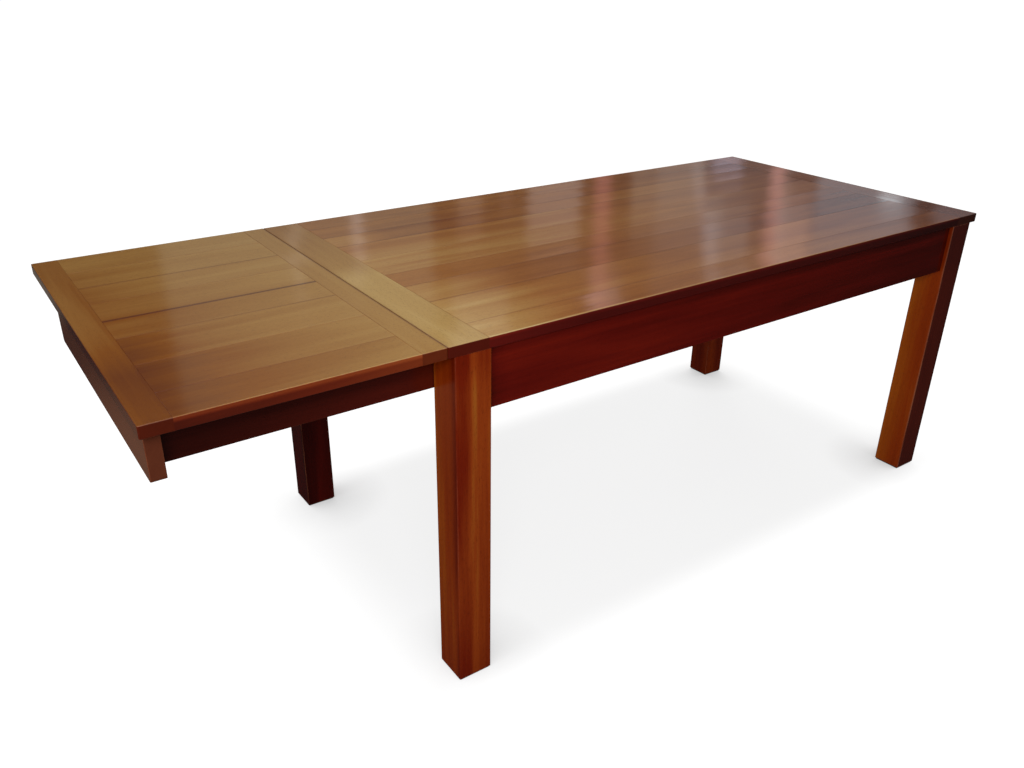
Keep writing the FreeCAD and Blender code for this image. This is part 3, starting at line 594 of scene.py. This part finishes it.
def loose_object(name, made):
    """An object from a bmesh, which is freed."""
    mesh = bpy.data.meshes.new(name)
    made.to_mesh(mesh)
    made.free()
    loose = bpy.data.objects.new(name, mesh)
    bpy.context.scene.collection.objects.link(loose)
    return loose


def countersunk_screw(length):
    """One screw at the origin, its head's face at z = 0 and its point towards +Z."""
    throat = HEAD_RADIUS - SHANK_RADIUS + HEAD_EDGE
    body = loose_object("screw_body", turned([
        (HEAD_RADIUS, 0), (HEAD_RADIUS, HEAD_EDGE), (SHANK_RADIUS, throat),
        (SHANK_RADIUS, length - POINT_LENGTH), (POINT_RADIUS, length)]))
    punch = loose_object("screw_punch", cross_punch())
    cut = body.modifiers.new("cross", "BOOLEAN")
    cut.operation, cut.object, cut.solver = "DIFFERENCE", punch, "EXACT"
    shape = bpy.data.meshes.new_from_object(body.evaluated_get(bpy.context.evaluated_depsgraph_get()))
    bpy.data.objects.remove(body)
    bpy.data.objects.remove(punch)
    return shape


def screw_places(node):
    """Head's middle, direction and length in mm of each plain screw in a node."""
    plain = bmesh.new()
    plain.from_mesh(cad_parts[node].data)
    bmesh.ops.remove_doubles(plain, verts=plain.verts, dist=SAME_POINT)
    left, places = set(plain.verts), []
    while left:
        group, edge = set(), {min(left, key=lambda v: v.index)}
        while edge:
            group |= edge
            edge = {e.other_vert(v) for v in edge for e in v.link_edges} - group
        left -= group
        points = np.array([v.co for v in sorted(group, key=lambda v: v.index)])
        middle = points.mean(0)
        along = np.linalg.svd(points - middle)[2][0]
        height = (points - middle) @ along
        ends = [points[np.abs(height - limit) < SAME_LEVEL] for limit in (height.min(), height.max())]
        ends.sort(key=lambda end: -np.ptp(end, axis=0).max())       # the head is the wider end
        head, tip = (Vector(end.mean(0)) for end in ends)
        places.append((head, (tip - head).normalized(), (tip - head).length / MM))
    plain.free()
    return places


def fit_screws(node, body, steel):
    """Put cross-head screws where a node has plain ones."""
    made = bmesh.new()
    for number, (head, direction, length) in enumerate(screw_places(node)):
        shape = countersunk_screw(length)
        spin = Matrix.Rotation(math.radians(SPIN_STEP * number), 4, "Z")
        stand = direction.to_track_quat("Z", "X").to_matrix().to_4x4()
        shape.transform(Matrix.Translation(head) @ stand @ spin)
        made.from_mesh(shape)
        bpy.data.meshes.remove(shape)
    piece = loose_object(node + "_cross_head", made)
    piece.data.materials.append(steel)
    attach(piece, body)
    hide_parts(node)


steel = zinc_steel()
for node in ("brace_screws", "button_screws", "guide_screws", "stop_screws"):
    fit_screws(node, "frame", steel)


# ---------------------------------------------------------------- stage
# A white paper floor, and a dim room that only the lacquer mirrors. Sizes in metres.
FLOOR_HALF = 40.0
PAPER_SEEN = "#828282"     # the paper as the camera sees it, before it is lifted to white,
PAPER_BOUNCE = "#a0a0a0"   # and as it throws light back at the table
# The glow that lifts the paper to white is dimmed under the table and at the feet: a painted shadow,
# over the real one that the paper catches.
PAPER_LIFT = (0.80, 0.97)  # under the table and round it,
LIFT_REACH = (0.9, 1.25)   # as shares of the way from its middle to its legs' outer faces,
LIFT_CORNERS = 0.2         # rounded at the corners by this much
FOOT_SHADE = (0.6, 1.0)    # the share of the lift that is left right at a foot, and away from it,
FOOT_OPEN = (0.3, 1.0)     # where this share of the light from outside comes past the foot
FOOT_SHADE_LENGTH = 0.16
LEAN_UP = 0.7              # how steeply that light comes down, against its way in
FLOOR_SAMPLES = 12

SOFT_LIGHT = 0.27          # of the world
ROOM_RADIUS = 5.2
ROOM_HEIGHT = 4.5
ROOM_SEGMENTS = 64
ROOM_FLOOR_HALF = 9.0
ROOM_FLOOR_LEVEL = -0.02   # below the paper
WALL_GLOW, ROOM_FLOOR_GLOW = 0.03, 0.02

CARD_DISTANCE = 5.0        # from the camera's foot, the nearest cards a little less
CARD_GAP = 0.005
SOFT_SIDE = 0.8            # degrees over which a pale card's sides fade out
SOFT_END = 0.4             # and metres over which its ends do
# Pale cards on the walls, by direction from the camera's foot in degrees from +Y towards +X,
# at the low end and at the high one, width in degrees, lowest and highest point in metres,
# colour and strength.
CARDS = [
    (21.2, 21.2, 18.0, 0.0, 3.0, "#fbfbdf", 0.22), (24.9, 24.9, 1.5, 0.0, 2.0, "#fff0ee", 0.42),
    (20.9, 20.9, 1.3, 1.3, 2.1, "#fff2e0", 0.30), (33.0, 33.0, 4.6, 1.8, 2.8, "#fff8ea", 0.40),
    (32.6, 32.2, 2.4, 0.0, 1.8, "#ffe0c8", 0.24), (34.8, 34.6, 1.4, 0.0, 1.6, "#ffd8cc", 0.16),
    (38.4, 37.6, 4.2, 0.0, 1.85, "#fff1ea", 0.34), (40.6, 41.2, 1.8, 0.0, 2.5, "#ffa0a0", 0.42),
    (41.4, 41.4, 3.0, 1.75, 2.5, "#fff0fa", 0.60), (44.6, 45.2, 5.4, 0.0, 1.8, "#fff0dc", 0.22),
    (46.0, 49.9, 1.6, 0.9, 2.3, "#faf4ff", 0.16), (48.3, 48.7, 2.6, 0.9, 1.3, "#eee6ff", 0.50),
    (48.5, 48.5, 9.0, 0.6, 2.4, "#f4f0f0", 0.10), (51.6, 51.8, 1.5, 0.0, 2.3, "#ffb8b0", 0.62),
    (53.0, 53.1, 2.8, 1.12, 2.4, "#ffe0d6", 0.66), (56.9, 56.9, 6.4, 0.0, 2.8, "#eef4ff", 0.36),
    (67.0, 67.0, 13.0, 0.0, 3.0, "#f2eaf4", 0.20), (58.4, 58.4, 2.0, 1.02, 1.34, "#f2fbff", 1.2),
    (49.0, 49.0, 3.6, 1.25, 1.85, "#f2fbff", 0.24), (48.2, 48.2, 1.8, 1.25, 1.85, "#f2fbff", 0.20),
]
# Windows round the rest of the room, seen from the table's middle, in the same degrees.
WINDOWS = 6
WINDOW_FIRST, WINDOW_STEP, WINDOW_WIDTH = 105, 42, 14
WINDOW_SILL, WINDOW_HEAD = 0.9, 3.3
WINDOW_SOFTNESS = (0.12, 0.12)
WINDOW_COLOUR, WINDOW_LIGHT = "#f6f8ff", 0.5
# Paler patches of floor: limits along X and along Y, softness, colour and strength. The end
# rail mirrors the first, and the leaf's end the second.
FLOOR_CARDS = {
    "floor_card_pale": ((-4.0, -0.6), (0.0, 1.8), (0.3, 0.5), "#ffbe94", 0.16),
    "floor_card_far": ((-2.4, -0.9), (2.0, 4.0), (0.2, 0.3), "#f0e6cc", 0.14),
}
# Place, what it aims at, width and power in watts.
LAMPS = {
    "key": ((-1.7, -2.4, 2.0), (-0.2, 0, 0.4), 1.2, 46),
    "overhead": ((-1.3, 0.1, 3.9), (-0.2, 0, 0.7), 1.6, 48),
    "fill": ((2.6, 2.4, 1.3), (0.2, 0, 0.4), 1.6, 30),
}


def stage_mesh(name, points, faces, material):
    """A piece of the stage."""
    mesh = bpy.data.meshes.new(name)
    mesh.from_pydata(points, [], faces)
    mesh.materials.append(material)
    made = bpy.data.objects.new(name, mesh)
    bpy.context.scene.collection.objects.link(made)
    return made


def flat_stage(name, corners, material):
    """A piece of the stage that is one flat face."""
    return stage_mesh(name, corners, [(0, 1, 2, 3)], material)


def level_corners(x_limits, y_limits, height):
    """Corners of a level rectangle, going round."""
    (left, right), (near, far) = x_limits, y_limits
    return [(left, near, height), (right, near, height), (right, far, height), (left, far, height)]


def seen_only_in_gloss(made):
    """Studio cards and walls show only where something glossy mirrors them."""
    made.visible_camera = made.visible_diffuse = made.visible_shadow = False
    made.visible_transmission = made.visible_volume_scatter = False
    made.active_material.cycles.emission_sampling = "NONE"       # they light nothing by themselves


def glow(name, colour, strength):
    """Even light from a wall or floor of the room."""
    material, tree = new_material(name)
    light = add_node(tree, "Emission", {"Color": linear(colour), "Strength": strength})
    finish_material(tree, light.outputs[0])
    return material


def soft_glow(name, softness, colour, strength):
    """Light from a card that fades out over shares of its width and its height."""
    material, tree = new_material(name)
    share = add_node(tree, "SeparateXYZ", {0: add_node(tree, "TexCoord").outputs["UV"]})
    level = strength
    for axis, soft in zip("XY", softness):
        off = add_node(tree, "Math", {0: share.outputs[axis], 1: 0.5}, operation="SUBTRACT")
        edge = add_node(tree, "Math", {0: off.outputs[0]}, operation="ABSOLUTE")
        inside = add_node(tree, "MapRange", {"Value": edge.outputs[0], "From Min": 0.5,
                                             "From Max": 0.5 - soft}, interpolation_type="SMOOTHSTEP")
        level = add_node(tree, "Math", {0: inside.outputs[0], 1: level}, operation="MULTIPLY").outputs[0]
    light = add_node(tree, "Emission", {"Color": linear(colour), "Strength": level})
    clear = add_node(tree, "BsdfTransparent")
    both = add_node(tree, "AddShader", {0: clear.outputs[0], 1: light.outputs[0]})
    finish_material(tree, both.outputs[0])
    return material


def soft_card(name, corners, softness, colour, strength):
    """A pale card, its corners going round from the low end's left."""
    card = flat_stage(name, corners, soft_glow(name, softness, colour, strength))
    share = card.data.uv_layers.new(name="share")
    for loop, place in zip(share.data, ((0, 0), (1, 0), (1, 1), (0, 1))):
        loop.uv = place
    seen_only_in_gloss(card)


def wall_corners(middle, distance, at_low, at_high, spread, low, high):
    """Corners of an upright card round a middle, by degrees from +Y towards +X."""
    corners = []
    for azimuth, side, height in ((at_low, -1, low), (at_low, 1, low), (at_high, 1, high),
                                  (at_high, -1, high)):
        turn = math.radians(azimuth + side * spread / 2)
        corners.append((*(middle + distance * Vector((math.sin(turn), math.cos(turn)))), height))
    return corners


def white_floor():
    """Matt white paper. It looks white to the camera outside the shadow between the feet, where the glow
    that lifts it is dimmed: a painted shadow.
    """
    material, tree = new_material("white_paper_floor")
    path = add_node(tree, "LightPath")
    seen = add_node(tree, "BsdfDiffuse", {"Color": linear(PAPER_SEEN)})
    here = add_node(tree, "NewGeometry").outputs["Position"]
    low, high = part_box("leg_near_left")[0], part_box("leg_far_right")[1]
    middle, half = (low + high) / 2, (high - low) / 2
    out = add_node(tree, "VectorMath", {0: here, 1: (middle.x, middle.y, 0)}, operation="SUBTRACT")
    share = add_node(tree, "VectorMath", {0: out.outputs[0], 1: (half.x, half.y, 1)}, operation="DIVIDE")
    size = add_node(tree, "VectorMath", {0: share.outputs[0]}, operation="ABSOLUTE")
    sides = add_node(tree, "SeparateXYZ", {0: size.outputs[0]})
    reach = add_node(tree, "Math", {0: sides.outputs["X"], 1: sides.outputs["Y"], 2: LIFT_CORNERS},
                     operation="SMOOTH_MAX")
    rise = add_node(tree, "MapRange", {
        "Value": reach.outputs[0], "From Min": LIFT_REACH[0], "From Max": LIFT_REACH[1],
        "To Min": PAPER_LIFT[0], "To Max": PAPER_LIFT[1]}, interpolation_type="SMOOTHSTEP")
    # A painted shade at each foot, dimming the glow on the foot's inner side, as light comes in from
    # round the table.
    lean = add_node(tree, "VectorMath", {0: share.outputs[0], 1: (1, 1, 0), 2: (0, 0, LEAN_UP)},
                    operation="MULTIPLY_ADD")
    around = add_node(tree, "VectorMath", {0: lean.outputs[0]}, operation="NORMALIZE")
    open_sky = add_node(tree, "AmbientOcclusion", {"Distance": FOOT_SHADE_LENGTH,
                                                   "Normal": around.outputs[0]}, samples=FLOOR_SAMPLES)
    shade = add_node(tree, "MapRange", {
        "Value": open_sky.outputs["AO"], "From Min": FOOT_OPEN[0], "From Max": FOOT_OPEN[1],
        "To Min": FOOT_SHADE[0], "To Max": FOOT_SHADE[1]})
    level = add_node(tree, "Math", {0: rise.outputs[0], 1: shade.outputs[0]}, operation="MULTIPLY")
    lift = add_node(tree, "Emission", {"Color": linear("#ffffff"), "Strength": level.outputs[0]})
    shown = add_node(tree, "AddShader", {0: seen.outputs[0], 1: lift.outputs[0]})
    bounce = add_node(tree, "BsdfDiffuse", {"Color": linear(PAPER_BOUNCE)})
    mixed = add_node(tree, "MixShader", {0: path.outputs["Is Camera Ray"], 1: bounce.outputs[0],
                                         2: shown.outputs[0]})
    finish_material(tree, mixed.outputs[0])
    return material


def make_world():
    """White background to the camera and to anything clear or metal, plain soft light else."""
    world = bpy.data.worlds.new("studio")
    bpy.context.scene.world = world
    world.use_nodes = True
    tree = world.node_tree
    tree.nodes.clear()
    path = add_node(tree, "LightPath")
    direct = add_node(tree, "Math", {0: path.outputs["Is Camera Ray"], 1: path.outputs["Is Glossy Ray"]},
                      operation="MAXIMUM")
    shown = add_node(tree, "Math", {0: direct.outputs[0], 1: path.outputs["Is Transmission Ray"]},
                     operation="MAXIMUM")
    soft = add_node(tree, "Background", {"Color": linear("#ffffff"), "Strength": SOFT_LIGHT})
    white = add_node(tree, "Background", {"Color": linear("#ffffff"), "Strength": 1.0})
    mixed = add_node(tree, "MixShader", {0: shown.outputs[0], 1: soft.outputs[0], 2: white.outputs[0]})
    tree.links.new(mixed.outputs[0], add_node(tree, "OutputWorld").inputs["Surface"])


def make_room():
    """Dim round walls and a dim floor."""
    points = []
    for height in (0, ROOM_HEIGHT):
        for n in range(ROOM_SEGMENTS):
            turn = math.tau * n / ROOM_SEGMENTS
            points.append((ROOM_RADIUS * math.cos(turn), ROOM_RADIUS * math.sin(turn), height))
    faces = []
    for n in range(ROOM_SEGMENTS):
        m = (n + 1) % ROOM_SEGMENTS
        faces.append((n, m, ROOM_SEGMENTS + m, ROOM_SEGMENTS + n))
    limits = (-ROOM_FLOOR_HALF, ROOM_FLOOR_HALF)
    seen_only_in_gloss(flat_stage("floor_card", level_corners(limits, limits, ROOM_FLOOR_LEVEL),
                                  glow("dim_floor", "#ffffff", ROOM_FLOOR_GLOW)))
    seen_only_in_gloss(stage_mesh("studio_walls", points, faces, glow("dim_wall", "#ffffff", WALL_GLOW)))


def lamp(name, place, aim, size, power):
    """A round area lamp, which nothing glossy mirrors."""
    light = bpy.data.lights.new(name, "AREA")
    light.shape, light.size, light.energy = "DISK", size, power
    made = bpy.data.objects.new(name, light)
    made.location = place
    made.rotation_euler = (Vector(aim) - Vector(place)).to_track_quat("-Z", "Y").to_euler()
    made.visible_glossy = False
    bpy.context.scene.collection.objects.link(made)


make_world()
floor_limits = (-FLOOR_HALF, FLOOR_HALF)
floor = flat_stage("floor", level_corners(floor_limits, floor_limits, 0), white_floor())
floor.visible_glossy = False
make_room()
for number, (at_low, at_high, spread, low, high, colour, strength) in enumerate(CARDS):
    corners = wall_corners(Vector(CAMERA_PLACE[:2]), CARD_DISTANCE - number * CARD_GAP,
                           at_low, at_high, spread, low, high)
    softness = (min(SOFT_SIDE / spread, 0.5), min(SOFT_END / (high - low), 0.5))
    soft_card("wall_card_%d" % (number + 1), corners, softness, colour, strength)
for number in range(WINDOWS):
    azimuth = WINDOW_FIRST + WINDOW_STEP * number
    corners = wall_corners(Vector((0, 0)), CARD_DISTANCE, azimuth, azimuth, WINDOW_WIDTH,
                           WINDOW_SILL, WINDOW_HEAD)
    soft_card("window_%d" % (number + 1), corners, WINDOW_SOFTNESS, WINDOW_COLOUR, WINDOW_LIGHT)
for name, (x_limits, y_limits, softness, colour, strength) in FLOOR_CARDS.items():
    soft_card(name, level_corners(x_limits, y_limits, 0), softness, colour, strength)
for name, (place, aim, size, power) in LAMPS.items():
    lamp(name, place, aim, size, power)

camera_data = bpy.data.cameras.new("camera")
camera_data.lens, camera_data.sensor_width = LENS, SENSOR
camera = bpy.data.objects.new("camera", camera_data)
camera.location = CAMERA_PLACE
camera.rotation_euler = Euler([math.radians(turn) for turn in CAMERA_TURN])
bpy.context.scene.collection.objects.link(camera)
bpy.context.scene.camera = camera
bpy.context.scene.view_settings.view_transform = "Standard"
